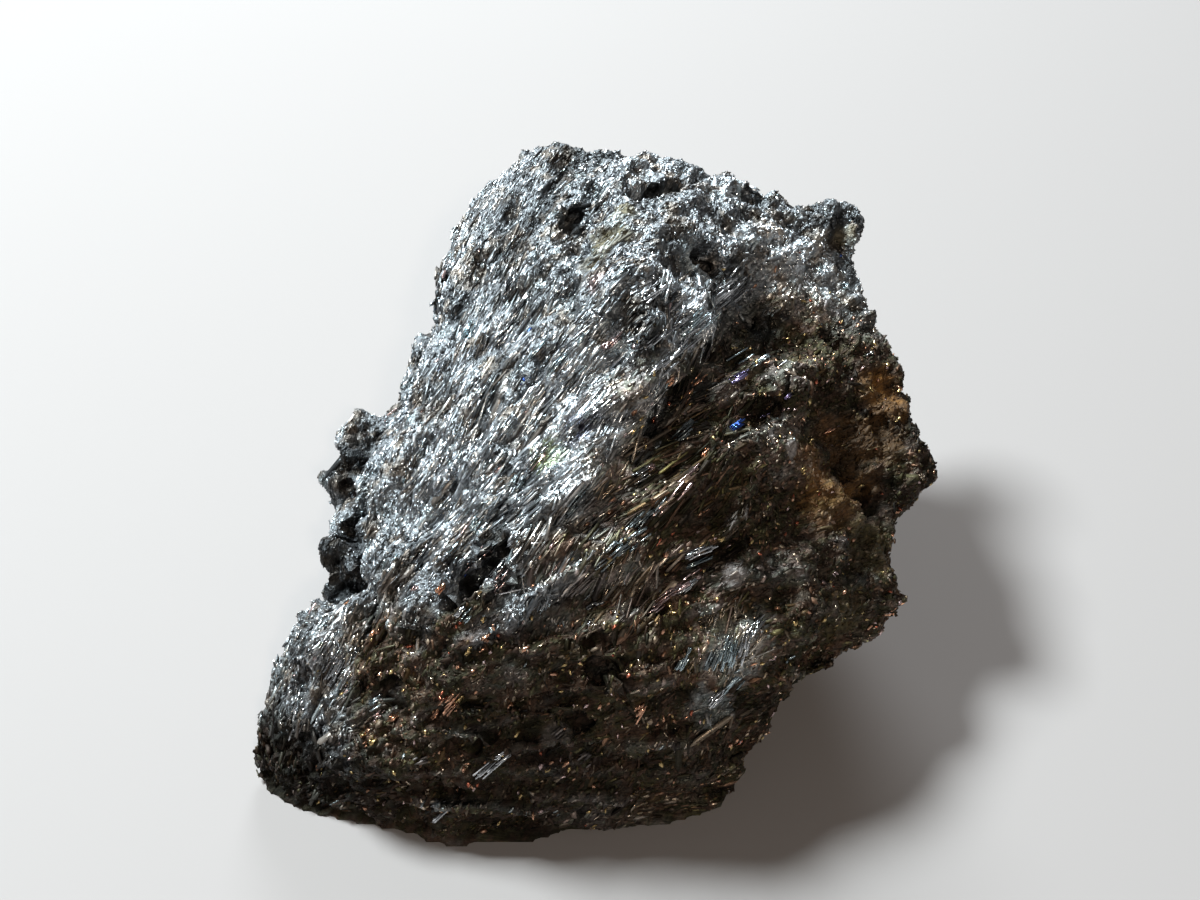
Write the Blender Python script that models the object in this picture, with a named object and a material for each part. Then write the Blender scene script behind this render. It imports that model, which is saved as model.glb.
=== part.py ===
"""A stibnite crystal spray: one massive hand specimen of crystals grown together.

Everything is in millimetres until to_metres() sizes the finished mesh. +Z is up, the specimen
rests on the flat broken face at z = 0, and the origin is under the middle of its box.
The crystals radiate from SPRAY_SOURCE, a point just outside the low front left end.
"""

import math

import bmesh
import bpy
import numpy as np
from mathutils import Matrix, Vector, noise
from mathutils.bvhtree import BVHTree

MM = 0.001

# Overall size of the finished specimen along x, y and z.
WIDTH = 47.3
DEPTH = 49.0
HEIGHT = 30.3

# Every fibre and blade points away from here.
SPRAY_SOURCE = Vector((-27.0, -23.0, 2.0))

# The large broken forms, each the convex hull of its corners, all fused into one body.
LUMPS = {
    "dome": [
        (2.2, 17.8, 27.2), (1.9, 1.7, 30.3), (3.0, -6.7, 28.2), (-1.2, -12.6, 24.6),
        (-7.3, -16.4, 19.8), (-13.5, -16.4, 15.0), (-4.2, 21.4, 24.8), (-9.2, 13.6, 22.8),
        (-11.3, 6.0, 20.4), (-13.8, -1.1, 17.4), (-15.4, -7.6, 14.6), (10.2, 17.2, 25.6),
        (14.4, 15.6, 24.0), (18.0, 9.6, 20.2), (19.6, 5.0, 18.4), (14.6, -14.4, 12.6),
        (4.0, -19.4, 15.6), (-9.0, -20.4, 14.0), (-13.0, 14.0, 0.0), (3.0, 15.0, 0.0),
        (9.0, -8.0, 0.0), (-15.0, -14.0, 0.0),
    ],
    "front_wall": [
        (-15.6, -17.0, 12.6), (-9.6, -18.8, 15.6), (-6.4, -18.6, 17.8), (2.0, -20.0, 15.6),
        (12.0, -16.8, 13.4), (-20.2, -20.9, -1.5), (-11.3, -23.8, -1.5), (-1.3, -22.6, -1.5),
        (7.6, -21.2, -1.5), (10.6, -18.4, 3.0), (13.2, -14.8, 5.4), (-14.0, -8.0, -1.5),
        (6.0, -6.0, 16.0), (-10.0, -6.0, 16.0),
    ],
    "left_toe": [
        (-16.4, -12.6, 12.4), (-20.6, -9.2, 7.2), (-22.8, -12.4, 6.0), (-23.6, -16.2, 3.8),
        (-23.4, -18.6, 0.0), (-21.6, -20.4, -1.5), (-16.0, -20.4, -1.5), (-16.0, -18.4, 8.6),
        (-12.0, -12.0, 12.0), (-12.0, -10.0, -1.5), (-19.4, -10.0, -1.5),
    ],
    "left_ledge": [
        (-19.3, 6.8, 6.2), (-19.1, 1.2, 6.0), (-18.5, -2.8, 6.4), (-18.7, -6.6, 6.6),
        (-16.2, -6.0, 10.4), (-15.4, 1.0, 11.4), (-15.4, 8.2, 10.2), (-17.8, 10.2, 6.0),
        (-14.4, 13.8, 8.0), (-12.0, 0.0, 11.0), (-11.0, 14.0, 0.0), (-17.2, 6.0, -1.5),
        (-17.0, -8.0, -1.5), (-12.0, -8.0, 4.0),
    ],
    "back_wall": [
        (-6.4, 25.4, 21.6), (-9.7, 25.6, 16.6), (-12.0, 24.4, 14.4), (-13.4, 19.4, 13.0),
        (-12.8, 12.0, 16.0), (-7.6, 15.0, 22.6), (-1.8, 19.6, 25.8), (8.0, 17.8, 25.0),
        (6.0, 22.4, 18.0), (10.0, 19.0, 10.0), (-6.0, 22.0, 3.0), (4.0, 17.0, 1.0),
        (-10.0, 12.0, 1.0), (0.0, 5.0, 10.0),
    ],
    "right_shoulder": [
        (12.4, 17.0, 25.0), (15.6, 16.4, 23.6), (17.6, 16.4, 20.6), (18.6, 12.6, 20.6),
        (18.8, 9.4, 20.2), (15.4, 16.6, 15.0), (16.6, 12.0, 12.0),
        (21.4, 5.0, 18.2), (22.0, 3.0, 16.6), (20.8, -5.2, 12.6), (20.0, -10.0, 10.6),
        (17.6, -12.2, 8.6), (13.6, -14.6, 7.2), (12.6, -16.0, 13.6), (8.0, -8.0, 21.0),
        (6.0, 8.0, 25.0), (17.0, 6.0, 6.0), (16.0, -6.0, 4.6), (8.0, 12.0, 3.0),
        (7.0, -10.0, 2.0),
    ],
}

# Rounded lumps standing out of the large forms: (centre, radii along x, y, z).
BOSSES = {
    "ledge_back": ((-18.4, 8.8, 6.8), (1.9, 2.3, 2.4)),
    "ledge_upper": ((-18.7, 3.7, 6.7), (1.9, 1.9, 2.3)),
    "ledge_middle": ((-18.2, -0.9, 7.0), (1.8, 1.7, 2.2)),
    "ledge_front": ((-18.0, -5.0, 7.2), (1.8, 1.7, 2.4)),
    "right_boss": ((21.2, -1.2, 13.6), (2.4, 3.4, 3.0)),
    "right_low": ((17.6, -9.6, 9.8), (3.2, 3.0, 3.0)),
    "right_high": ((19.6, 4.6, 17.0), (2.4, 2.6, 2.2)),
    "knob": ((17.7, 17.1, 21.4), (2.4, 2.2, 1.8)),
    "knob_neck": ((15.4, 15.6, 21.6), (2.6, 2.6, 2.4)),
    "toe_top": ((-18.4, -12.8, 7.8), (3.0, 3.2, 2.9)),
    "front_left": ((-14.6, -19.6, 5.6), (4.0, 2.0, 3.2)),
    "front_middle": ((-4.0, -21.0, 6.0), (4.6, 1.6, 2.6)),
    "front_right": ((5.0, -19.8, 6.0), (3.6, 1.7, 3.4)),
    "back_low": ((-7.0, 21.4, 7.0), (4.6, 3.2, 4.0)),
    "back_right": ((11.6, 14.6, 12.0), (4.0, 3.6, 4.4)),
    "back_left": ((-12.0, 17.0, 7.0), (3.4, 4.0, 3.4)),
}

# Broken-out hollows between two points: (start, end, width, depth).
HOLLOWS = {
    "upper_right": ((2.5, -9.4, 24.4), (12.0, 4.5, 23.2), 4.4, 1.7),
    "middle": ((-1.0, -14.2, 22.6), (7.0, -11.2, 22.6), 1.9, 0.8),
    "low_right": ((-1.0, -17.4, 18.4), (8.4, -14.6, 18.8), 1.9, 1.0),
    "left_step": ((-14.6, -9.4, 15.8), (-4.6, -10.6, 23.2), 1.6, 0.7),
    "right_side": ((14.5, -1.0, 19.6), (18.5, -5.0, 15.4), 2.4, 1.2),
    "top": ((-3.0, 6.0, 27.4), (0.0, 15.0, 27.6), 2.2, 0.9),
    "back": ((-8.0, 23.0, 12.0), (6.0, 21.0, 12.0), 2.6, 1.3),
}

# Crystal cavities: (centre, radii along x, y, z).
PITS = {
    "upper_pit": ((7.6, 5.1, 27.2), (1.2, 1.1, 1.6)),
    "left_pit": ((-1.7, 10.3, 26.6), (1.0, 1.5, 1.6)),
    "left_pit_low": ((-2.7, 8.5, 26.2), (0.8, 0.8, 1.2)),
    "front_left": ((-13.4, -18.8, 10.7), (1.2, 1.2, 0.9)),
    "front_low": ((-8.6, -22.2, 8.4), (2.0, 1.5, 1.0)),
    "front_middle": ((-1.6, -20.9, 10.6), (1.2, 1.4, 1.0)),
    "front_high": ((0.1, -19.6, 14.0), (1.1, 1.2, 0.9)),
    "front_corner": ((-17.6, -20.6, 5.4), (1.4, 1.3, 0.9)),
    "right_side": ((17.2, -0.8, 18.0), (0.9, 1.0, 1.2)),
    "right_low": ((13.4, -10.4, 16.6), (1.1, 1.1, 1.1)),
    "back": ((2.0, 20.8, 15.0), (1.6, 1.6, 1.2)),
    "back_left": ((-12.8, 18.0, 11.6), (1.4, 1.4, 1.2)),
}

# Narrow gaps cut from start to end: (start, end, width, depth).
CLEFTS = {
    "lip": ((-9.5, -17.0, 18.1), (-4.9, -14.9, 21.2), 1.5, 3.4),
    "top_slot": ((2.9, 11.5, 29.0), (6.8, 12.5, 28.2), 1.4, 3.0),
    "top_slot_end": ((1.4, 10.2, 29.2), (3.5, 11.0, 29.0), 1.1, 2.4),
    "ledge_back": ((-21.6, 6.2, 6.0), (-15.6, 6.6, 10.0), 1.1, 4.0),
    "ledge_middle": ((-21.6, 1.4, 6.0), (-15.6, 1.6, 10.4), 1.1, 4.0),
    "ledge_front": ((-21.4, -2.9, 6.2), (-15.6, -2.8, 10.4), 1.1, 4.0),
    "ledge_end": ((-20.8, -7.4, 6.0), (-15.4, -7.0, 11.4), 1.2, 4.0),
    "right_gap": ((19.8, -4.6, 16.4), (19.4, 1.0, 17.4), 1.2, 3.4),
    "low_gap": ((17.6, -6.0, 15.4), (22.6, -6.4, 11.4), 1.3, 3.6),
    "right_crack": ((15.6, 6.4, 21.0), (18.4, 1.6, 19.6), 0.9, 3.0),
    "trench": ((2.0, -10.4, 24.2), (12.6, 5.2, 23.0), 3.0, 2.6),
    "trench_low": ((-5.4, -15.8, 21.8), (2.2, -11.0, 23.9), 1.7, 2.2),
    "right_trench": ((7.0, -8.6, 22.6), (13.0, -1.0, 20.8), 1.8, 2.0),
    "low_trench": ((1.6, -18.0, 17.8), (10.8, -13.0, 18.0), 1.5, 2.2),
    "lip_left": ((-15.8, -16.6, 13.4), (-8.4, -19.5, 15.8), 1.9, 2.4),
    "lip_right": ((-8.2, -19.7, 15.4), (1.6, -20.5, 14.4), 1.7, 2.4),
    "front_crease": ((-12.4, -20.2, 10.4), (0.6, -21.9, 10.0), 1.4, 2.2),
    "front_low_crease": ((-16.0, -21.2, 3.2), (-3.0, -23.0, 5.6), 1.3, 2.2),
    "toe_crease": ((-18.4, -16.9, 8.6), (-13.6, -19.0, 11.2), 1.4, 2.4),
}

# A tuft of steeper blades low on the right of the front: the first one, and the step to the next.
TUFT_START = Vector((4.6, -20.0, 8.4))
TUFT_END = Vector((7.0, -17.2, 14.8))
TUFT_STEP = Vector((1.25, 0.55, 0.0))
TUFT_BLADES = 4

# The body's own fineness, and how many triangles are left after thinning.
VOXEL = 0.9
BODY_TRIANGLES = 1800

# Relief pressed into the body: height of the broad lumps and of the ridges along the spray.
BROAD_RELIEF = 0.45
RIDGE_RELIEF = 0.70

# Crystals fused to the body, coarse then fine: (spacing, least and most length and width).
CRYSTALS = (
    (8.5, (12.0, 20.0), (2.2, 3.2)),
    (4.4, (5.0, 12.0), (1.0, 2.0)),
)
# How far a tip may stand out, the least body thickness under a crystal, the lowest one, and the
# nearest one to SPRAY_SOURCE.
PROUD = 0.35
LEAST_BODY = 7.0
LOWEST_CRYSTAL = 1.5
NEAREST_CRYSTAL = 15.0
SEED = 7


def helper(collection, name, mesh, place):
    """An object kept out of the finished model, used only to cut or to be fused."""
    obj = bpy.data.objects.new(name, mesh)
    obj.hide_render = True
    obj.display_type = "WIRE"
    obj.matrix_world = place
    collection.objects.link(obj)


def new_collection(name):
    collection = bpy.data.collections.new(name)
    bpy.context.scene.collection.children.link(collection)
    return collection


def mesh_from(name, bm):
    mesh = bpy.data.meshes.new(name)
    bm.to_mesh(mesh)
    bm.free()
    return mesh


def apply_modifiers(obj):
    """Replaces the object's mesh by what its modifiers make of it."""
    graph = bpy.context.evaluated_depsgraph_get()
    mesh = bpy.data.meshes.new_from_object(obj.evaluated_get(graph))
    obj.modifiers.clear()
    obj.data = mesh


def add_ball(bm, centre, radii, subdivisions):
    """A faceted ellipsoid."""
    place = Matrix.Translation(centre) @ Matrix.Diagonal((*radii, 1.0))
    bmesh.ops.create_icosphere(bm, subdivisions=subdivisions, radius=1.0, matrix=place)


def rough_forms():
    """All the large forms and bosses as overlapping closed skins in one mesh."""
    bm = bmesh.new()
    for corners in LUMPS.values():
        verts = [bm.verts.new(corner) for corner in corners]
        made = bmesh.ops.convex_hull(bm, input=verts)
        spare = set(made["geom_interior"] + made["geom_unused"])
        bmesh.ops.delete(bm, geom=[v for v in spare if v.is_valid], context="VERTS")
    for centre, radii in BOSSES.values():
        add_ball(bm, centre, radii, 3)
    bmesh.ops.recalc_face_normals(bm, faces=bm.faces)
    return bm


def fused_body():
    """The forms as one skin of even squares, ready to be given relief."""
    body = bpy.data.objects.new("stibnite_spray", mesh_from("stibnite_spray", rough_forms()))
    bpy.context.scene.collection.objects.link(body)
    remesh = body.modifiers.new("fuse", "REMESH")
    remesh.mode = "VOXEL"
    remesh.voxel_size = VOXEL
    apply_modifiers(body)
    return body


def ridge_noise(point, across, along):
    """Noise drawn out along the spray: across and along are its frequencies per millimetre."""
    ray = point - SPRAY_SOURCE
    turned = ray.normalized() * (across * 30.0)
    return noise.noise(turned + Vector((0.0, 0.0, along * ray.length)))


def hollow_depth(point):
    """How far a point sinks where pieces have broken out."""
    deepest = 0.0
    for start, end, width, depth in HOLLOWS.values():
        start, end = Vector(start), Vector(end)
        run = end - start
        share = max(0.0, min(1.0, (point - start).dot(run) / run.length_squared))
        off = (point - start - run * share).length
        deepest = max(deepest, depth * max(0.0, 1.0 - (off / width) ** 2))
    return deepest


def carve_relief(body):
    """Presses broad unevenness, ridges along the spray and the hollows into the body."""
    vertices = body.data.vertices
    normals = [v.normal.copy() for v in vertices]
    for v, normal in zip(vertices, normals):
        broad = noise.fractal(v.co * 0.16, 0.9, 2.0, 3)
        ridges = ridge_noise(v.co, 0.55, 0.10) + 0.5 * ridge_noise(v.co, 1.1, 0.16)
        height = BROAD_RELIEF * broad + RIDGE_RELIEF * ridges
        v.co += normal * (height - hollow_depth(v.co))


def thin(body):
    """Leaves large flat facets in place of the even squares."""
    decimate = body.modifiers.new("thin", "DECIMATE")
    count = sum(len(p.vertices) - 2 for p in body.data.polygons)
    decimate.ratio = BODY_TRIANGLES / count
    apply_modifiers(body)


def blade_mesh(low, high, width, thickness):
    """A blade along +Z from low to high: a rhombic prism with a slanting point at each end."""
    bm = bmesh.new()
    half, flat = width / 2, thickness / 2
    tip = min(width, 0.3 * (high - low))
    section = [(half, 0.0), (0.25 * half, flat), (-half, 0.0), (-0.25 * half, -flat)]
    lower, upper = [[bm.verts.new((x, y, z)) for x, y in section] for z in (low + tip, high - tip)]
    for i in range(len(section)):
        j = (i + 1) % len(section)
        bm.faces.new((lower[i], lower[j], upper[j], upper[i]))
    for ring, height in ((lower[::-1], low), (upper, high)):
        point = bm.verts.new((0.3 * half, 0.3 * flat, height))
        for i, corner in enumerate(ring):
            bm.faces.new((corner, ring[(i + 1) % len(ring)], point))
    return mesh_from("blade", bm)


def facing(along, out):
    """A rotation with +Z along the blade and +Y as nearly outwards as that allows."""
    side = along.cross(out).normalized()
    return Matrix((-side, side.cross(along), along)).transposed()


def crystal_lie(point, normal, rng):
    """How a crystal lies: along the spray, nearly in the surface, its flat side outwards."""
    ray = (point - SPRAY_SOURCE).normalized()
    rise = ray.dot(normal)
    along = (ray - normal * rise * 0.85).normalized()
    along = Matrix.Rotation(math.radians(rng.normal(0, 5)), 3, normal) @ along
    out = Matrix.Rotation(math.radians(rng.normal(0, 14)), 3, along) @ normal
    return facing(along, out), abs(rise)


def reach_inside(tree, start, step, most):
    """How far one can go from start, in steps, before leaving the body by more than PROUD."""
    gone = 0.0
    while gone < most:
        tip = start + step * (gone + 0.5)
        spot, normal, _, _ = tree.find_nearest(tip)
        if (tip - spot).dot(normal) > PROUD:
            break
        gone += 0.5
    return gone


def seats(body, tree, spacing, rng):
    """Points and normals picked by area over the thick parts, no two nearer than the spacing."""
    faces = body.data.polygons
    areas = np.array([face.area for face in faces])
    kept = []
    for index in rng.choice(len(faces), len(faces), replace=False, p=areas / areas.sum()):
        point, normal = faces[index].center, faces[index].normal
        depth = tree.ray_cast(point - normal * 0.1, -normal)[3] or 0.0
        near = (point - SPRAY_SOURCE).length < NEAREST_CRYSTAL
        if near or point.z < LOWEST_CRYSTAL or depth < LEAST_BODY:
            continue
        if all((point - other).length > spacing for other, _ in kept):
            kept.append((point.copy(), normal.copy()))
    return kept


def grow_crystals(body, collection):
    """Crystals spread over the body, each a helper object in the collection."""
    rng = np.random.default_rng(SEED)
    tree = BVHTree.FromObject(body, bpy.context.evaluated_depsgraph_get())
    for spacing, lengths, widths in CRYSTALS:
        for point, normal in seats(body, tree, spacing, rng):
            lie, rise = crystal_lie(point, normal, rng)
            along = lie.col[2]
            half = rng.uniform(*lengths) * (1 - 0.5 * rise) / 2
            width = rng.uniform(*widths)
            thickness = width * rng.uniform(0.6, 0.85)
            low = reach_inside(tree, point, -along, half)
            high = reach_inside(tree, point, along, half)
            if low + high > 1.5 * width:
                place = Matrix.Translation(point - normal * thickness * 0.1) @ lie.to_4x4()
                helper(collection, "crystal", blade_mesh(-low, high, width, thickness), place)


def grow_tuft(collection):
    """A few parallel blades that cross the rest of the spray."""
    along = TUFT_END - TUFT_START
    lie = facing(along.normalized(), Vector((0.3, -0.8, 0.5)))
    for i in range(TUFT_BLADES):
        length = along.length * (1 - 0.12 * (i % 2))
        place = Matrix.Translation(TUFT_START + TUFT_STEP * i) @ lie.to_4x4()
        helper(collection, "tuft_blade", blade_mesh(0.0, length, 1.3, 1.1), place)


def cavity_cutters(collection):
    """The pits and the clefts, each a helper object in the collection."""
    for name, (centre, radii) in PITS.items():
        bm = bmesh.new()
        add_ball(bm, centre, radii, 1)
        helper(collection, name, mesh_from(name, bm), Matrix.Identity(4))
    for name, (start, end, width, depth) in CLEFTS.items():
        start, end = Vector(start), Vector(end)
        along = end - start
        place = Matrix.Translation(start) @ facing(along.normalized(), Vector((0, 0, 1))).to_4x4()
        helper(collection, name, blade_mesh(0.0, along.length, width, depth), place)


def boolean(body, operation, collection):
    """Fuses to the body, or cuts from it, everything in a collection."""
    modifier = body.modifiers.new(operation.lower(), "BOOLEAN")
    modifier.operation = operation
    modifier.solver = "EXACT"
    modifier.operand_type = "COLLECTION"
    modifier.collection = collection
    apply_modifiers(body)


def flatten_base(bm):
    """Cuts the underside off flat at z = 0."""
    geom = bm.verts[:] + bm.edges[:] + bm.faces[:]
    cut = bmesh.ops.bisect_plane(bm, geom=geom, plane_no=(0, 0, -1), clear_outer=True)
    rim = [e for e in cut["geom_cut"] if isinstance(e, bmesh.types.BMEdge)]
    bmesh.ops.edgenet_fill(bm, edges=rim)


def drop_chips(bm):
    """Deletes any piece that the cuts left loose from the main one."""
    left = set(bm.verts)
    pieces = []
    while left:
        piece = set()
        edge = [left.pop()]
        while edge:
            vert = edge.pop()
            piece.add(vert)
            near = {link.other_vert(vert) for link in vert.link_edges} & left
            left -= near
            edge += near
        pieces.append(piece)
    pieces.sort(key=len)
    chips = [vert for piece in pieces[:-1] for vert in piece]
    bmesh.ops.delete(bm, geom=chips, context="VERTS")


def finish_mesh(body):
    """Gives the body its flat base, clears chips and turns every face outwards."""
    bm = bmesh.new()
    bm.from_mesh(body.data)
    flatten_base(bm)
    drop_chips(bm)
    bmesh.ops.recalc_face_normals(bm, faces=bm.faces)
    bm.to_mesh(body.data)
    bm.free()


def to_metres(body):
    """Stands the specimen on the origin, WIDTH by DEPTH by HEIGHT, in metres."""
    points = np.array([v.co for v in body.data.vertices])
    low, high = points.min(0), points.max(0)
    middle = (low + high) / 2
    shift = Matrix.Translation((-middle[0], -middle[1], -low[2]))
    fit = np.array((WIDTH, DEPTH, HEIGHT)) / (high - low)
    body.data.transform(Matrix.Diagonal((*(fit * MM), 1.0)) @ shift)


def stibnite_material():
    """Dark lead-grey metal."""
    material = bpy.data.materials.new("stibnite")
    material.use_nodes = True
    shader = material.node_tree.nodes["Principled BSDF"]
    shader.inputs["Base Color"].default_value = (0.20, 0.20, 0.21, 1.0)
    shader.inputs["Metallic"].default_value = 0.9
    shader.inputs["Roughness"].default_value = 0.35
    return material


def build():
    for obj in list(bpy.data.objects):
        bpy.data.objects.remove(obj)
    body = fused_body()
    carve_relief(body)
    thin(body)
    crystals = new_collection("crystals")
    grow_crystals(body, crystals)
    grow_tuft(crystals)
    boolean(body, "UNION", crystals)
    cavities = new_collection("cavities")
    cavity_cutters(cavities)
    boolean(body, "DIFFERENCE", cavities)
    finish_mesh(body)
    to_metres(body)
    body.data.materials.clear()
    body.data.materials.append(stibnite_material())


build()
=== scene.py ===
"""Dresses the stibnite specimen: a crumbly skin with some 65,000 small blades grown on it.

Lengths and places are in millimetres in the survey frame, where the model's own origin is at
SURVEY; metres(points) takes them to the model's frame. Features that were placed one by one are
given as pixels of the 1200 x 900 picture, and lie where that line of sight meets the skin.
A pair of numbers named ..._EDGE or ..._FADE is where a share starts from 0 and where it is 1.
A pair named X_BY_Y is the factor on X where the share Y is 0 and where it is 1.
"""

import math

import bmesh
import bpy
import numpy as np
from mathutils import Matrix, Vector
from mathutils.bvhtree import BVHTree


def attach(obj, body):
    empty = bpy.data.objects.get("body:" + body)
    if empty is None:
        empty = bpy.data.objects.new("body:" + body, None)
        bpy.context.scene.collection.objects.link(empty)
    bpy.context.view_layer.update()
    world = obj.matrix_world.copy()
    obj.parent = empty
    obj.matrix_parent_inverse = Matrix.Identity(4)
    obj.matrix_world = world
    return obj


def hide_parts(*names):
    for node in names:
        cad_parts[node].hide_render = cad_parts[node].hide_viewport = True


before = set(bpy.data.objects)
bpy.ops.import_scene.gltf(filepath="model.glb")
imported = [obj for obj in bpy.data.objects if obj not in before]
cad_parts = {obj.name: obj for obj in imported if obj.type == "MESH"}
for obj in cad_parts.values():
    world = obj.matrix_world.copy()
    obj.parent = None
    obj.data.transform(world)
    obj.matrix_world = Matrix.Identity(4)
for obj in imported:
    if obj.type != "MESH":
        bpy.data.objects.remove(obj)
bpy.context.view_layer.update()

MM = 0.001
SURVEY = np.array((-0.046, 1.141, 0.0))
SEED = 11

# ---- stage: values

# The camera: the picture and lens, its aim, distance and tilt down, and what follows from them.
WIDTH, HEIGHT = 1200, 900
LENS, SENSOR = 50, 36
NEAREST = 5.0
AIM = np.array((0.0, 0.0, 14.0))
DISTANCE = 117.6
TILT = math.radians(45)
FORWARD = np.array((0.0, math.cos(TILT), -math.sin(TILT)))
UPWARD = np.array((0.0, math.sin(TILT), math.cos(TILT)))
EYE = AIM - DISTANCE * FORWARD
FOCAL_PIXELS = LENS / SENSOR * WIDTH
PIXEL = DISTANCE / FOCAL_PIXELS

# The lamps: name, place, diameter, power and colour; and the height over the origin they face.
LAMPS = (
    ("key", (-280.0, 174.0, 454.0), 150.0, 8.4, (0.87, 0.97, 1.0)),
    ("back", (-20.0, 520.0, 250.0), 220.0, 3.0, (0.88, 0.96, 1.0)),
    ("fill", (120.0, -460.0, 440.0), 50.0, 1.0, (1.0, 0.88, 0.74)),
)
LAMP_AIM = 10.0

FLOOR_SIZE = 3000.0
FLOOR_COLOUR = (0.285, 0.262, 0.256, 1)
FLOOR_ROUGHNESS = 0.8
SKY_COLOUR = (0.88, 0.86, 0.84, 1)
SKY_STRENGTH = 0.13

# ---- shape: values

# Where the fibres fan out from, and the way they run in the front wall and, in part, in the toe.
SPRAY_SOURCE = np.array((-22.0, -22.0, 2.0))
WALL_WAY = np.array((0.34, 0.36, 0.87))
STEEP_IN_WALL = 0.85
STEEP_IN_TOE = 0.5

# The tuft low on the right of the front: pixel, half size, fade, way, and share of blades.
TUFT = (730, 650)
TUFT_SIZE = (2.8, 2.8, 3.0)
TUFT_FADE = (1.2, 0.8)
TUFT_WAY = np.array((0.33, 0.38, 0.86))
TUFT_SHARE = 0.8

# The front wall fades in at an edge that is WALL_LEAN further back for each millimetre above
# WALL_Z. The other regions each fade in along one or two axes: (axis, from where, to where).
WALL_Y_EDGE = (-16.5, -19.5)
WALL_LEAN = 0.35
WALL_Z = 12.0
TOE = ((0, -14.0, -18.0),)
TOP = ((2, 23.5, 27.0), (1, 1.0, 8.0))
LEFT = ((0, -6.0, -12.0),)
RIGHT = ((0, 7.0, 12.0),)
SILVERY = (((0, -15.6, -17.2), (2, 3.0, 6.0)), ((1, 4.0, 10.0), (2, 16.0, 20.0)))

# The skin: mesh size, mean level, how often its normals are averaged, and its relief: ridges and
# grain as (height, noise cells, seed), with cells as in the patterns below.
SKIN_VOXEL = 0.34
SKIN_LEVEL = -0.26
SOFTENING = 6
RIDGES = ((0.42, (15.0, 0.20), 0), (0.34, (34.0, 0.50), 1), (0.20, (75.0, 1.20), 2))
GRAINS = ((0.20, 0.75, 20), (0.15, 1.5, 21), (0.10, 2.8, 22))
RIDGE_SHARPNESS = 2.2
GRAIN_SHARPNESS = 2.0
RIDGES_BY_GRAIN = (1.0, 0.25)
GRAINS_BY_GRAIN = (0.35, 1.60)
GROOVE_DEPTH = 0.7
GROOVE_EDGE = (0.35, 0.8)
FOOT_EDGE = (0.0, 0.6)

# Where the surface crumbles into grain: where the fibres rise out of it, and in some regions.
RISE_EDGE = (0.40, 0.80)
GRAINY_REGIONS = ((TOP, 0.6), (LEFT, 0.3), (RIGHT, 0.8))
GRAIN_ON_WALL = 0.7

# Rays that tell how open a place is: how many, how far, how widely spread, and their start. Closed
# places get painted shade.
SHELTER_RAYS = 6
SHELTER_REACH = 3.0
SHELTER_SPREAD = 0.62
SHELTER_START = 0.12

# Gaps sunk into the skin and kept clear of flakes, and, with a negative depth, hollows filled up:
# (x and y of one end, x and y of the other, radius and depth in millimetres).
CUTS = (
    (450, 602, 507, 548, 0.72, 1.3), (648, 428, 704, 352, 0.55, 1.1), (453, 497, 507, 470, 0.32, 0.6),
    (590, 645, 645, 595, 0.38, 0.8), (640, 190, 690, 181, 0.60, 1.2), (568, 218, 574, 232, 0.70, 1.0),
    (577, 244, 584, 252, 0.55, 0.9), (702, 254, 716, 267, 1.00, 1.6), (352, 432, 357, 446, 0.50, 0.8),
    (347, 484, 353, 496, 0.45, 0.7), (350, 532, 356, 548, 0.45, 0.8), (336, 580, 342, 588, 0.40, 0.6),
    (349, 456, 354, 458, 0.90, -0.9), (338, 508, 345, 510, 1.00, -1.0), (331, 546, 336, 548, 0.80, -0.6),
    (343, 594, 348, 600, 1.20, -1.2),
    (448, 752, 492, 742, 0.70, 0.9), (594, 664, 612, 682, 0.50, 0.6), (556, 716, 584, 724, 0.40, 0.6),
    (380, 692, 398, 702, 0.40, 0.8), (866, 500, 870, 512, 0.80, 1.1), (745, 300, 770, 318, 0.60, 0.7),
    (772, 398, 800, 383, 1.60, -1.3), (640, 712, 652, 716, 0.9, -0.5),
)

# A cut's fade in radii from its middle line, its ragged edge as (weight, noise cells, seed), and
# the radii within which no flake grows.
CUT_FADE = (1.2, 0.4)
CUT_EDGE_NOISE = ((0.55, 1.5, 52),)
CUT_CLEAR = 0.85

# ---- tone: values

SILVER = np.array((0.74, 0.77, 0.81))
LEAD = np.array((0.23, 0.245, 0.26))
TARNISH = np.array((0.17, 0.125, 0.085))
ROSE = np.array((0.82, 0.64, 0.46))
EARTHS = np.array((
    (0.068, 0.038, 0.011), (0.050, 0.041, 0.011), (0.092, 0.048, 0.026), (0.125, 0.094, 0.066),
))

# Tints and roughness that flakes and patches may take.
TINTS = {
    "white": ((0.92, 0.94, 0.97), 0.15),
    "cyan": ((0.74, 0.89, 0.95), 0.18),
    "teal": ((0.47, 0.53, 0.55), 0.26),
    "pink": ((0.93, 0.68, 0.66), 0.20),
    "copper": ((0.95, 0.52, 0.34), 0.22),
    "red": ((0.85, 0.26, 0.16), 0.22),
    "gold": ((0.88, 0.64, 0.30), 0.24),
    "blue": ((0.10, 0.22, 0.80), 0.22),
    "violet": ((0.40, 0.34, 0.62), 0.24),
    "lime": ((0.42, 0.50, 0.24), 0.32),
    "pale": ((0.30, 0.27, 0.26), 0.55),
    "ochre": ((0.25, 0.11, 0.018), 0.80),
    "olive": ((0.13, 0.10, 0.03), 0.65),
}
EARTHY = ("ochre", "olive", "pale")

# Odds of a coloured flake among tarnished and among clean ones: tint, and from and to where in a
# draw of 0 to 1; and their roughness.
WARM_SPARKS = (
    ("gold", 0.0, 0.025), ("copper", 0.025, 0.048), ("red", 0.048, 0.052), ("pink", 0.052, 0.064),
)
COLD_SPARKS = (
    ("cyan", 0.900, 0.908), ("pink", 0.910, 0.913), ("blue", 0.915, 0.9155), ("teal", 0.92, 0.95),
)
WARM_SPARK_ROUGHNESS = 0.28
COLD_SPARK_ROUGHNESS = 0.2

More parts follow.
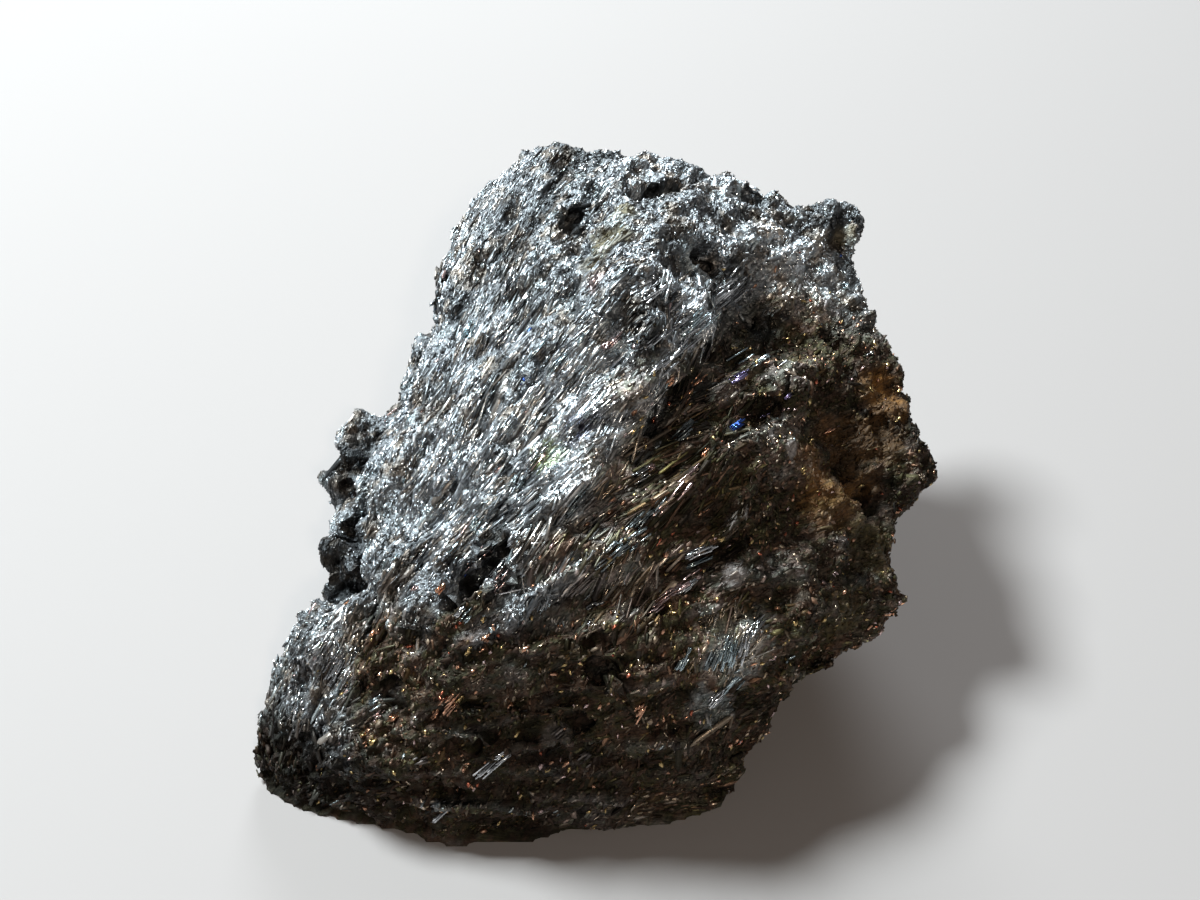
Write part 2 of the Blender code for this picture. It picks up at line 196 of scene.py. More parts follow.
# Patterns of noise, each in layers of (weight, noise cells, seed). A pair of cells is to the
# radian across and to the millimetre along the spray; a single one is to the millimetre.
RAGGED = ((1.9, (14.0, 0.12), 31), (1.2, 0.45, 32), (1.2, (45.0, 0.5), 33))
CLUMPS = ((0.45, (26.0, 0.35), 41), (0.5, 0.9, 43))
CLUMP_LEVEL = 0.45
# The crests of the ridges clump more, so they get more fresh flakes and a lighter colour: a painted
# highlight.
CREST_HIGHLIGHT = 0.35
EARTHED = ((1.0, 1.5, 47),)
EARTHED_SKIN = ((0.4, 4.0, 48),)
EARTHED_FLAKES = 0.6
EARTH_STEP = 1.6
EARTH_MIDDLE = 2

# Covers: the most of a cover, where its pattern fades in, and the pattern.
BROAD = (1.0, (-0.6, 0.5), ((1.0, 0.22, 42),))
TARNISHED = (0.65, (0.0, 0.7), ((1.0, 0.8, 44), (0.8, 2.0, 45)))
TEALED = (0.5, (0.3, 0.8), ((1.0, 0.7, 46),))
FLOCKS = (1.0, (-0.1, 0.6), ((1.0, 0.6, 53),))
ODDS_BY_FLOCK = (0.2, 1.8)

# Where the surface has tarnished brown: past two slanting planes, each as its weight, a point on
# it and the way it faces, with a ragged edge; but hardly in the silvery regions.
WARM_PLANES = (
    (0.8, (3.4, -6.0, 0.0), (0.832, -0.555, 0.0)),
    (1.0, (0.0, -17.0, 17.6), (0.0, -0.8, -0.6)),
)
WARM_EDGE = (-1.2, 2.6)
WARM_MOST = 0.95
WARM_BY_SILVER = (1.0, 0.15)

# The crests of the ridges are rubbed clean of some tarnish, and places deep in grooves or pits get
# painted shade: a darker colour and fewer fresh flakes.
CREST_EDGE = (0.1, 0.8)
GROOVED_EDGE = (-0.9, 0.1)
OPEN_EDGE = (0.25, 0.95)
WARM_BY_CREST = (1.0, 0.70)
OPEN_BY_GROOVE = (0.4, 1.0)

# The share of fresh flakes, and the lightness and finish of the rest. Closed places get fewer fresh
# flakes and a darker colour, as painted shade.
FRESH = 0.44
FRESH_START = 0.10
FRESH_LIMITS = (0.01, 0.85)
FRESH_BY_BROAD = (0.45, 1.15)
FRESH_BY_WARM = (1.0, 0.28)
FRESH_BY_OPEN = (0.08, 1.0)
LIGHT_BY_OPEN = (0.20, 1.0)
LIGHT_BY_CLUMP = (0.65, 1.25)
ROUGH_BY_WARM = (0.38, 0.54)
METAL_BY_WARM = (0.95, 0.70)

# How flakes differ: mean and spread of the logarithm of their lightness, roughness, the share of
# fresh ones that catch a lamp, and how much of a stain each takes.
DULL_SPREAD = (-0.05, 0.62)
BRIGHT_SPREAD = (-0.15, 0.3)
BRIGHT_BY_WARM = (1.0, 0.65)
FRESH_ROUGHNESS = (0.18, 0.36)
ROUGH_SPREAD = (-0.1, 0.1)
LIT_MOST = 0.30
LIT_EDGE = (0.2, 0.9)
STAIN_SPREAD = (0.5, 1.0)

# The limits of colour and roughness, and how the skin between the flakes differs.
BRIGHTEST = 0.97
ROUGHNESS_LIMITS = (0.14, 0.9)
SKIN_DARKER = 0.75
SKIN_ROUGHER = 0.06

# Broader areas, mostly painted light and shade and in part the stone's own tone: (x, y, radius,
# added share of fresh flakes, lightness of the rest).
LIGHT_AND_SHADE_AREAS = (
    (590, 420, 5.0, 0.46, 2.4), (700, 315, 4.0, 0.46, 2.4), (800, 270, 5.0, 0.36, 2.6),
    (450, 480, 5.0, 0.18, 1.6), (590, 570, 4.0, 0.16, 1.4), (560, 800, 5.0, -0.03, 0.62),
    (350, 780, 3.5, -0.10, 0.38), (690, 760, 3.5, 0.0, 0.70), (530, 690, 5.0, 0.0, 0.82),
    (750, 190, 4.0, 0.22, 2.0), (705, 300, 2.6, 0.35, 1.7),
    (650, 165, 3.0, 0.15, 1.6), (730, 650, 2.6, 0.80, 4.6), (330, 655, 2.6, 0.55, 2.2),
    (288, 765, 3.4, -0.40, 0.25), (345, 460, 3.2, -0.30, 0.36), (336, 560, 3.2, -0.30, 0.36),
    (885, 450, 4.5, -0.30, 0.34), (850, 570, 4.0, -0.20, 0.60), (428, 320, 2.6, -0.12, 0.7),
    (690, 385, 1.8, -0.25, 0.4), (770, 318, 2.2, -0.25, 0.4), (430, 805, 1.2, 0.3, 1.5),
    (440, 230, 2.2, -0.10, 0.6), (424, 390, 2.4, -0.12, 0.6), (270, 690, 2.0, -0.20, 0.8),
    (915, 470, 1.6, 0.40, 3.0),
)
AREA_FADE = (1.4, 0.5)

# Stained, dusty or especially shiny patches: (x, y, radius in millimetres, tint, strength).
PATCHES = (
    (886, 395, 1.9, "ochre", 0.95), (862, 484, 1.5, "ochre", 0.85), (845, 440, 2.2, "ochre", 0.5),
    (880, 440, 2.0, "ochre", 0.6), (830, 500, 2.4, "ochre", 0.45), (815, 465, 1.6, "ochre", 0.4),
    (607, 235, 1.4, "olive", 0.8), (592, 258, 1.0, "olive", 0.5), (626, 208, 0.9, "olive", 0.8),
    (846, 236, 1.0, "olive", 0.4), (870, 545, 2.4, "olive", 0.4), (850, 620, 2.0, "olive", 0.4),
    (543, 453, 1.1, "lime", 0.6), (577, 427, 1.0, "violet", 0.2),
    (735, 652, 2.6, "teal", 0.5), (712, 708, 1.5, "teal", 0.5), (440, 806, 0.9, "teal", 0.4),
    (733, 573, 0.8, "pale", 0.9), (794, 451, 0.7, "pale", 0.9), (730, 513, 0.7, "pale", 0.7),
    (753, 513, 0.6, "pale", 0.7), (620, 470, 1.0, "pale", 0.4),
    (600, 285, 0.9, "pink", 0.35), (700, 300, 1.2, "pale", 0.3), (555, 735, 0.9, "pale", 0.5),
)
PATCH_FADE = (1.25, 0.65)
PATCH_EDGE_NOISE = ((0.35, 1.7, 51),)

# ---- flakes: values

# The flakes: pieces, cells along a side of each piece's bake map, flakes in a piece, and the
# height below which none grow.
BUNDLES = 4
CELLS = 128
FLAKES = CELLS * CELLS
LOWEST_FLAKE = 0.45

# Corners of a flake: two rings of left, right, keel, then the two tips; its faces; and the
# corners' places in its cell of the bake map.
QUADS = np.array(((1, 0, 3, 4), (0, 2, 5, 3), (2, 1, 4, 5)))
TRIANGLES = np.array(((0, 1, 6), (1, 2, 6), (2, 0, 6), (4, 3, 7), (5, 4, 7), (3, 5, 7)))
FACES = np.concatenate((QUADS.ravel(), TRIANGLES.ravel()))
FACE_SIZES = [4] * len(QUADS) + [3] * len(TRIANGLES)
CORNERS = 8
MAP_ALONG = np.array((0.3, 0.3, 0.3, 0.7, 0.7, 0.7, 0.14, 0.86))
MAP_ACROSS = np.array((0.86, 0.14, 0.5, 0.86, 0.14, 0.5, 0.5, 0.5))

# A flake's tips: length in widths, its most as a share of the flake, and how far they lean aside
# in widths and drop in thicknesses. The rings' width in widths, and the least height of a corner.
TIP_LENGTH = (0.3, 1.3)
TIP_MOST = 0.35
TIP_ASIDE = (-0.4, 0.4)
TIP_DROP = 0.12
RING_WIDTH = (0.7, 1.0)
LEAST_HEIGHT = 0.02

# How flakes lie: the share of the fibres' rise that is taken off, and yaw, lean and pitch in
# degrees. Triples are for a plain flake, and what a fibrous and a grainy one add.
FLATTENED = 0.88
YAW = (13, -8, 26)
LEAN = (13, 0, 10)
PITCH = (6, -3, 8)
LEAN_DRIFT = ((26, 0.8, 71),)

# Sizes: mean and spread of the logarithm, factors by kind, limits, and noise that coarsens.
LENGTH_SPREAD = (-0.15, 0.45)
LENGTH = (0.75, 2.2, -0.10)
LENGTH_BY_GRAIN = (1.0, 0.65)
LENGTH_LIMITS = (0.3, 3.6)
WIDTH_SPREAD = (-1.62, 0.40)
WIDTH_BY_FIBRES = (1.0, 0.85)
WIDTH_BY_GRAIN = (1.0, 1.2)
WIDTH_LIMITS = (0.08, 0.50)
COARSE = ((0.45, 0.35, 81),)
WIDEST = 0.55
THICKNESS = (0.5, 1.1)
LIFT = (-0.06, 0.11)

# Broad flakes: their share, and how much longer and wider they are. Sparks: size and lift.
BROAD_SHARE = 0.07
BROADS_BY_GRAIN = (1.0, 0.4)
BROAD_LONGER = 1.9
BROAD_WIDER = 2.1
SPARK_LENGTH = (0.25, 0.65)
SPARK_WIDTH = (0.14, 0.36)
SPARK_LIFT = 0.08

# Fitting to the skin: tries, the factor at each, and how far a tip may stand clear.
FIT_TRIES = 3
FIT_SHORTER = 0.55
FIT_CLEAR = 0.14

# Turning to a lamp: how far, as a slope, a flake and a spark may lean for it, the least rise of
# the lamp over the skin, what a low and a shaded lamp cost, and where its shadow ray starts.
FLAKE_BEND = 0.40
SPARK_BEND = 1.0
LAMP_RISE = 0.10
LOW_COST = 2
SHADE_COST = 1.5
SHADE_START = 0.4

# Fibrous ground in plain areas, the share of its flakes that are long fibres, and how much less
# grainy those are.
FIBROUS = (0.6, (-0.15, 0.5), ((1.0, (9.0, 0.10), 61),))
FIBRE_SHARE = 0.55
GRAIN_BY_FIBRES = (1.0, 0.2)

# Areas of long parallel fibres: (x, y, radius, share of long ones).
SHEAVES = (
    (600, 540, 6.0, 1.0), (690, 480, 5.0, 0.8), (700, 320, 4.5, 0.9), (560, 400, 4.5, 0.9),
    (500, 340, 5.5, 0.9), (470, 450, 4.5, 0.7), (480, 520, 3.0, 0.8), (700, 410, 4.0, 0.7),
    (330, 660, 3.0, 0.8), (730, 650, 2.4, 1.0),
)

# Single bright blades and tight groups of them, as seen in the picture:
# (x and y of one end, x and y of the other, width of the group, blades, tint).
STREAKS = (
    (492, 352, 520, 319, 9, 8, "white"), (435, 466, 450, 443, 8, 6, "white"),
    (459, 457, 482, 436, 9, 6, "white"), (587, 332, 602, 312, 10, 6, "white"),
    (592, 414, 618, 392, 13, 9, "white"), (545, 380, 572, 345, 7, 5, "cyan"),
    (505, 300, 520, 270, 7, 5, "white"), (462, 350, 476, 322, 6, 4, "cyan"),
    (556, 300, 570, 272, 6, 4, "white"), (600, 352, 622, 330, 8, 4, "pink"),
    (640, 352, 668, 330, 6, 4, "white"), (525, 470, 548, 440, 7, 5, "white"),
    (560, 520, 590, 482, 7, 5, "teal"), (560, 450, 580, 425, 9, 5, "white"),
    (440, 520, 462, 488, 8, 5, "white"), (414, 566, 430, 540, 7, 4, "white"),
    (640, 300, 664, 280, 9, 5, "white"), (487, 586, 509, 560, 6, 5, "white"),
    (503, 333, 533, 290, 9, 5, "white"), (520, 370, 550, 333, 5, 3, "cyan"),
    (465, 410, 488, 377, 13, 7, "white"), (580, 174, 588, 162, 5, 2, "white"),
    (593, 177, 607, 165, 6, 2, "white"), (533, 263, 536, 243, 4, 1, "cyan"),
    (668, 338, 748, 279, 24, 34, "white"), (675, 336, 714, 299, 12, 12, "cyan"),
    (708, 311, 744, 273, 16, 14, "white"),
    (640, 385, 700, 335, 10, 7, "white"), (745, 370, 768, 356, 7, 4, "cyan"),
    (776, 368, 800, 352, 6, 4, "white"), (728, 384, 748, 369, 7, 3, "violet"),
    (690, 388, 701, 377, 5, 4, "copper"), (683, 405, 691, 394, 6, 4, "copper"),
    (664, 388, 672, 378, 7, 4, "copper"), (680, 416, 685, 410, 3, 1, "pink"),
    (665, 411, 669, 404, 3, 1, "red"), (653, 425, 657, 419, 3, 1, "red"),
    (646, 448, 650, 432, 2, 1, "gold"), (698, 460, 710, 447, 7, 5, "copper"),
    (646, 471, 657, 463, 5, 2, "pink"), (629, 482, 652, 468, 12, 7, "white"),
    (667, 449, 698, 421, 12, 8, "teal"), (729, 432, 742, 422, 6, 3, "blue"),
    (782, 400, 794, 392, 4, 2, "violet"), (757, 418, 769, 412, 4, 2, "violet"),
    (786, 413, 794, 407, 4, 1, "pink"), (822, 437, 836, 427, 4, 3, "copper"),
    (806, 446, 814, 440, 3, 2, "gold"), (799, 474, 806, 466, 4, 2, "gold"),
    (829, 478, 837, 472, 3, 2, "gold"), (838, 292, 847, 285, 7, 2, "cyan"),
    (813, 196, 821, 191, 6, 2, "cyan"), (866, 358, 874, 351, 5, 2, "white"),
    (693, 262, 698, 251, 4, 1, "white"), (446, 260, 452, 254, 5, 1, "cyan"),
    (521, 385, 526, 378, 4, 1, "blue"), (476, 427, 482, 419, 5, 1, "blue"),
    (465, 572, 493, 541, 4, 3, "pink"), (437, 593, 447, 582, 8, 5, "copper"),
    (486, 595, 512, 559, 7, 3, "pink"), (474, 600, 499, 567, 8, 4, "white"),
    (413, 592, 421, 584, 5, 2, "pink"), (455, 616, 466, 603, 6, 3, "white"),
    (462, 622, 476, 606, 6, 3, "cyan"), (470, 532, 484, 512, 7, 4, "cyan"),
    (449, 572, 461, 552, 6, 2, "white"), (508, 496, 524, 475, 9, 5, "teal"),
    (531, 541, 541, 533, 5, 1, "white"), (586, 611, 604, 601, 6, 2, "white"),
    (588, 625, 599, 619, 5, 1, "white"), (374, 637, 381, 625, 5, 2, "copper"),
    (684, 557, 715, 543, 5, 5, "white"), (680, 571, 717, 552, 4, 4, "cyan"),
    (642, 617, 700, 571, 8, 14, "pink"), (668, 602, 698, 576, 6, 6, "white"),
    (650, 520, 700, 468, 7, 5, "pink"),
    (618, 548, 668, 492, 9, 6, "teal"), (600, 562, 655, 505, 9, 4, "teal"),
    (590, 575, 650, 530, 12, 8, "teal"), (565, 600, 610, 560, 10, 6, "pale"),
    (703, 668, 719, 636, 6, 6, "teal"), (716, 670, 730, 632, 7, 7, "cyan"),
    (727, 666, 740, 628, 8, 7, "cyan"), (737, 662, 750, 626, 7, 6, "white"),
    (743, 642, 758, 618, 7, 6, "white"), (708, 706, 724, 686, 8, 7, "white"),
    (722, 690, 740, 672, 8, 5, "cyan"), (676, 672, 690, 652, 6, 4, "cyan"),
    (680, 664, 686, 652, 5, 3, "teal"), (310, 662, 332, 627, 11, 12, "white"),
    (330, 686, 354, 638, 18, 22, "white"), (288, 740, 304, 688, 4, 4, "white"),
    (367, 709, 388, 697, 8, 4, "teal"), (376, 721, 388, 709, 4, 2, "pink"),
    (440, 698, 446, 691, 5, 2, "red"), (444, 710, 458, 693, 13, 9, "copper"),
    (432, 718, 440, 709, 6, 4, "copper"), (388, 723, 400, 711, 9, 6, "copper"),
    (455, 700, 463, 692, 7, 4, "gold"), (480, 640, 488, 632, 6, 3, "copper"),
    (455, 628, 461, 620, 4, 1, "red"), (466, 652, 473, 645, 4, 2, "gold"),
    (507, 709, 512, 702, 4, 2, "copper"), (404, 742, 411, 734, 4, 2, "gold"),
    (371, 742, 379, 735, 5, 2, "gold"), (362, 748, 369, 741, 4, 2, "copper"),
    (431, 814, 446, 802, 12, 8, "white"), (478, 775, 509, 751, 8, 6, "white"),
    (634, 713, 644, 700, 9, 5, "copper"), (408, 839, 414, 832, 5, 2, "gold"),
    (497, 822, 503, 816, 4, 2, "gold"), (790, 626, 795, 619, 3, 1, "gold"),
    (784, 663, 791, 656, 4, 1, "cyan"), (552, 738, 566, 728, 9, 4, "pale"),
    (412, 764, 426, 756, 8, 4, "pale"), (578, 762, 592, 752, 9, 4, "pale"),
)

# A group's blades: tries to a blade, place across the group, wobble in pixels, share of its
# length, the longest in pixels, and how far one may be stretched by a slope behind it.
STREAK_TRIES = 2
STREAK_ASIDE = (-0.5, 0.5)
STREAK_WOBBLE = 0.6
STREAK_SHARE = (0.25, 0.80)
STREAK_LONGEST = 36
STREAK_STRETCH = 2.2

# Each blade: width as a share of its room and in millimetres, thickness in widths, how far its
# ends may move for a lamp and the slopes that allows, wobble in radians, lift and shine.
STREAK_WIDTH = (0.5, 1.5)
STREAK_WIDTH_LIMITS = (0.14, 0.50)
STREAK_THICKNESS = 1.3
STREAK_BEND = 0.45
STREAK_BEND_LIMITS = (0.2, 0.8)
STREAK_YAW = 0.05
STREAK_LEAN = 0.04
STREAK_LIFT = (0.08, 0.26)
STREAK_SHINE = (0.25, 1.0)

# ---- material: values

# Materials: name, height of the bump in millimetres, and mottling as a share of the colour.
SKIN_LOOK = ("stibnite_skin", 0.25, 0.55)
FIBRE_LOOK = ("stibnite_fibre", 0.03, 0.25)
FRESH_LOOK = ("stibnite_fresh", 0.008, 0.15)

# Noise in the material: fibres in cells to the radian across and to the metre along the spray,
# and grit in cells to the metre, with their detail and usual range; and how they blur the shine.
FIBRES_ACROSS = 230.0
FIBRES_ALONG = 1100.0
FIBRE_DETAIL = 3.0
FIBRE_ROUGHNESS = 0.65
FIBRE_RANGE = (0.33, 0.67)
GRIT_CELLS = 4200.0
GRIT_DETAIL = 2.0
GRIT_RANGE = (0.3, 0.7)
BLUR = 0.10
BUMP_STRENGTH = 0.5

# ---- tools: values

# Numbers that scramble the corners of a cell of noise, and the largest that comes out.
SCRAMBLE = np.array((374761393, 668265263, 1440662683))
SCRAMBLE_SEED = 974634777
SCRAMBLE_AGAIN = 1274126177
SCRAMBLED_MOST = 0xFFFF

# Farther than any ray has to look.
FAR = 1000.0


# ---- tools

def metres(points):
    """Places of the survey frame in the model's frame, in metres."""
    return (np.asarray(points, float) - SURVEY) * MM


def unit(v):
    """Each vector at length 1."""
    return v / np.maximum(np.linalg.norm(v, axis=-1, keepdims=True), 1e-9)


def dot(a, b):
    return (a * b).sum(-1)


def smooth(low, high, x):
    """0 where x is low, 1 where it is high, and an even S between them."""
    t = np.clip((x - low) / (high - low), 0.0, 1.0)
    return t * t * (3 - 2 * t)


def between(pair, share):
    """The pair's first number where the share is 0, its second where it is 1."""
    return pair[0] + (pair[1] - pair[0]) * share


def blend(a, b, share):
    """Rows from a, where the share is 0, to b, where it is 1."""
    return a * (1 - share[:, None]) + b * share[:, None]


def noise3(points, seed):
    """Smooth noise from -1 to 1 at each point, one cell to the unit."""
    cell = np.floor(points).astype(np.int64)
    part = points - cell
    part = part * part * (3 - 2 * part)
    total = np.zeros(len(points))
    for corner in range(8):
        step = np.array(((corner >> 2) & 1, (corner >> 1) & 1, corner & 1))
        mixed = (cell + step) @ SCRAMBLE + seed * SCRAMBLE_SEED
        mixed = ((mixed ^ (mixed >> 13)) * SCRAMBLE_AGAIN) & 0xFFFFFFFF
        mixed = (mixed ^ (mixed >> 16)) & SCRAMBLED_MOST
        weight = np.where(step == 1, part, 1 - part).prod(1)
        total += weight * (2 * mixed / SCRAMBLED_MOST - 1)
    return total


def noise(points, cells, seed):
    """Noise of so many cells to the millimetre or, for a pair, drawn out along the spray."""
    if np.ndim(cells) == 0:
        return noise3(points * cells, seed)
    across, along = cells
    ray = points - SPRAY_SOURCE
    reach = np.linalg.norm(ray, axis=1, keepdims=True)
    drawn = ray / reach * across
    drawn[:, 2:] += along * reach
    return noise3(drawn, seed)


def pattern(points, layers, start=0.0):
    """The sum of some layers of noise."""
    for weight, cells, seed in layers:
        start = start + weight * noise(points, cells, seed)
    return start


def cover(points, most, edge, layers):
    """How far a cover lies over each point."""
    return most * smooth(*edge, pattern(points, layers))


def around(points, centre, radius, fade, ragged=()):
    """1 near a centre, fading out in radii from it, with an edge that noise may make ragged."""
    off = np.linalg.norm((points - centre) / radius, axis=1)
    return smooth(*fade, pattern(points, ragged, off))


def read_vectors(items, name):
    """One vector of each vertex."""
    out = np.empty(len(items) * 3)
    items.foreach_get(name, out)
    return out.reshape(-1, 3)


def survey_places(mesh):
    """The places of a mesh's vertices in the survey frame."""
    return read_vectors(mesh.vertices, "co") / MM + SURVEY


class Surface:
    """A mesh that rays are cast at, in the survey frame."""

    def __init__(self, mesh, places):
        self.mesh = mesh
        self.places = places
        self.tree = BVHTree.FromPolygons(places.tolist(), [face.vertices for face in mesh.polygons])

    def at(self, x, y):
        """The place under a pixel of the picture and the way it faces, or None and None."""
        aside = (x - WIDTH / 2) / FOCAL_PIXELS
        up = (HEIGHT / 2 - y) / FOCAL_PIXELS
        way = unit(FORWARD + (aside, 0, 0) + up * UPWARD)
        hit, normal, _, _ = self.tree.ray_cast(Vector(EYE), Vector(way))
        if hit is None:
            return None, None
        return np.array(hit), np.array(normal)

    def blocks(self, starts, ways, reach=FAR):
        """Whether a ray from each start meets the surface within reach."""
        return np.array([self.tree.ray_cast(Vector(start), Vector(way), reach)[0] is not None
                         for start, way in zip(starts.tolist(), ways.tolist())], bool)


# ---- skin

def make_skin(node):
    """The CAD solid again with a fine even mesh."""
    skin = bpy.data.objects.new("spray_skin", node.data.copy())
    bpy.context.scene.collection.objects.link(skin)
    remesh = skin.modifiers.new("fine", "REMESH")
    remesh.mode = "VOXEL"
    remesh.voxel_size = SKIN_VOXEL * MM
    graph = bpy.context.evaluated_depsgraph_get()
    mesh = bpy.data.meshes.new_from_object(skin.evaluated_get(graph))
    skin.modifiers.clear()
    skin.data = mesh
    skin.data.name = "spray_skin"
    return skin


def soft_normals(mesh):
    """Vertex normals, averaged with their neighbours'."""
    normals = read_vectors(mesh.vertices, "normal")
    ends = np.empty(len(mesh.edges) * 2, int)
    mesh.edges.foreach_get("vertices", ends)
    a, b = ends.reshape(-1, 2).T
    for _ in range(SOFTENING):
        total = normals.copy()
        np.add.at(total, a, normals[b])
        np.add.at(total, b, normals[a])
        normals = unit(total)
    return normals


def wall_share(p):
    """1 on the front wall, under its lip."""
    return smooth(*WALL_Y_EDGE, p[:, 1] - WALL_LEAN * (p[:, 2] - WALL_Z))


def within(p, region):
    """1 inside a region, fading out over its edges."""
    share = 1.0
    for axis, start, full in region:
        share = share * smooth(start, full, p[:, axis])
    return share


def fibre_way(p):
    """The way the fibres run: out from the spray's source, and steeper in the front wall and toe."""
    steep = np.maximum(STEEP_IN_WALL * wall_share(p), STEEP_IN_TOE * within(p, TOE))
    return unit(blend(unit(p - SPRAY_SOURCE), WALL_WAY, steep))


def grain_share(p, normals):
    """1 where the fibres end at the surface and it crumbles, 0 where they lie in it."""
    share = smooth(*RISE_EDGE, np.abs(dot(fibre_way(p), normals)))
    for region, more in GRAINY_REGIONS:
        share += more * within(p, region)
    return np.clip(share + GRAIN_ON_WALL * wall_share(p), 0, 1)


def cut_depth(p, cuts):
    """How far each place is sunk by the cuts, and whether it is kept clear of flakes."""
    sunk, inside = np.zeros(len(p)), np.zeros(len(p), bool)
    for a, b, radius, depth in cuts:
        run = b - a
        share = np.clip((p - a) @ run / (run @ run), 0, 1)
        off = np.linalg.norm(p - a - share[:, None] * run, axis=1) / radius
        off = pattern(p, CUT_EDGE_NOISE, off)
        sunk += depth * smooth(*CUT_FADE, off)
        inside |= (off < CUT_CLEAR) & (depth > 0)
    return sunk, inside


def roughen(mesh, cuts):
    """Roughens the skin and sinks the cuts. Returns its new places, its soft normals, and
    whether each place is kept clear of flakes."""
    places = survey_places(mesh)
    normals = soft_normals(mesh)
    grainy = grain_share(places, normals)
    height = np.full(len(places), SKIN_LEVEL)
    for tall, cells, seed in RIDGES:
        wave = noise(places, cells, seed)
        rise = np.tanh(RIDGE_SHARPNESS * wave) - GROOVE_DEPTH * smooth(*GROOVE_EDGE, -wave)
        height += tall * between(RIDGES_BY_GRAIN, grainy) * rise
    for tall, cells, seed in GRAINS:
        rise = np.tanh(GRAIN_SHARPNESS * noise(places, cells, seed))
        height += tall * between(GRAINS_BY_GRAIN, grainy) * rise
    sunk, clear = cut_depth(places, cuts)
    height = (height - sunk) * smooth(*FOOT_EDGE, places[:, 2])
    moved = places + read_vectors(mesh.vertices, "normal") * height[:, None]
    moved[:, 2] = np.maximum(moved[:, 2], 0.0)
    mesh.vertices.foreach_set("co", metres(moved).ravel())
    mesh.update()
    return moved, normals, clear


def openness(surface, normals, rng):
    """How open each place is to its surroundings, from 0 in a deep pit to 1 on a crest; closed places
    get painted shade.
    """
    starts = surface.places + normals * SHELTER_START
    seen = np.zeros(len(starts))
    for _ in range(SHELTER_RAYS):
        ways = unit(normals + rng.normal(0, SHELTER_SPREAD, normals.shape))
        seen += ~surface.blocks(starts, ways, SHELTER_REACH)
    return seen / SHELTER_RAYS


def drop_bubbles(mesh):
    """Deletes the few closed bubbles that the remesh leaves inside the skin."""
    net = bmesh.new()
    net.from_mesh(mesh)
    reached = {max(net.verts, key=lambda vert: vert.co.z)}
    waiting = list(reached)
    while waiting:
        vert = waiting.pop()
        fresh = {edge.other_vert(vert) for edge in vert.link_edges} - reached
        reached |= fresh
        waiting.extend(fresh)
    lost = [vert for vert in net.verts if vert not in reached]
    bmesh.ops.delete(net, geom=lost, context="VERTS")
    net.to_mesh(mesh)
    net.free()


# ---- tone

def warm_share(p):
    """How far the surface has tarnished brown: the front wall and the low right side."""
    right, front = (weight * dot(p - point, facing) for weight, point, facing in WARM_PLANES)
    warm = smooth(*WARM_EDGE, pattern(p, RAGGED, np.maximum(right, front)))
    for region in SILVERY:
        warm *= between(WARM_BY_SILVER, within(p, region))
    return warm


def crest(p):
    """From -1 in the grooves between the sheaves of fibres to 1 on their backs."""
    return sum(np.tanh(RIDGE_SHARPNESS * noise(p, cells, seed)) for _, cells, seed in RIDGES[:2]) / 2


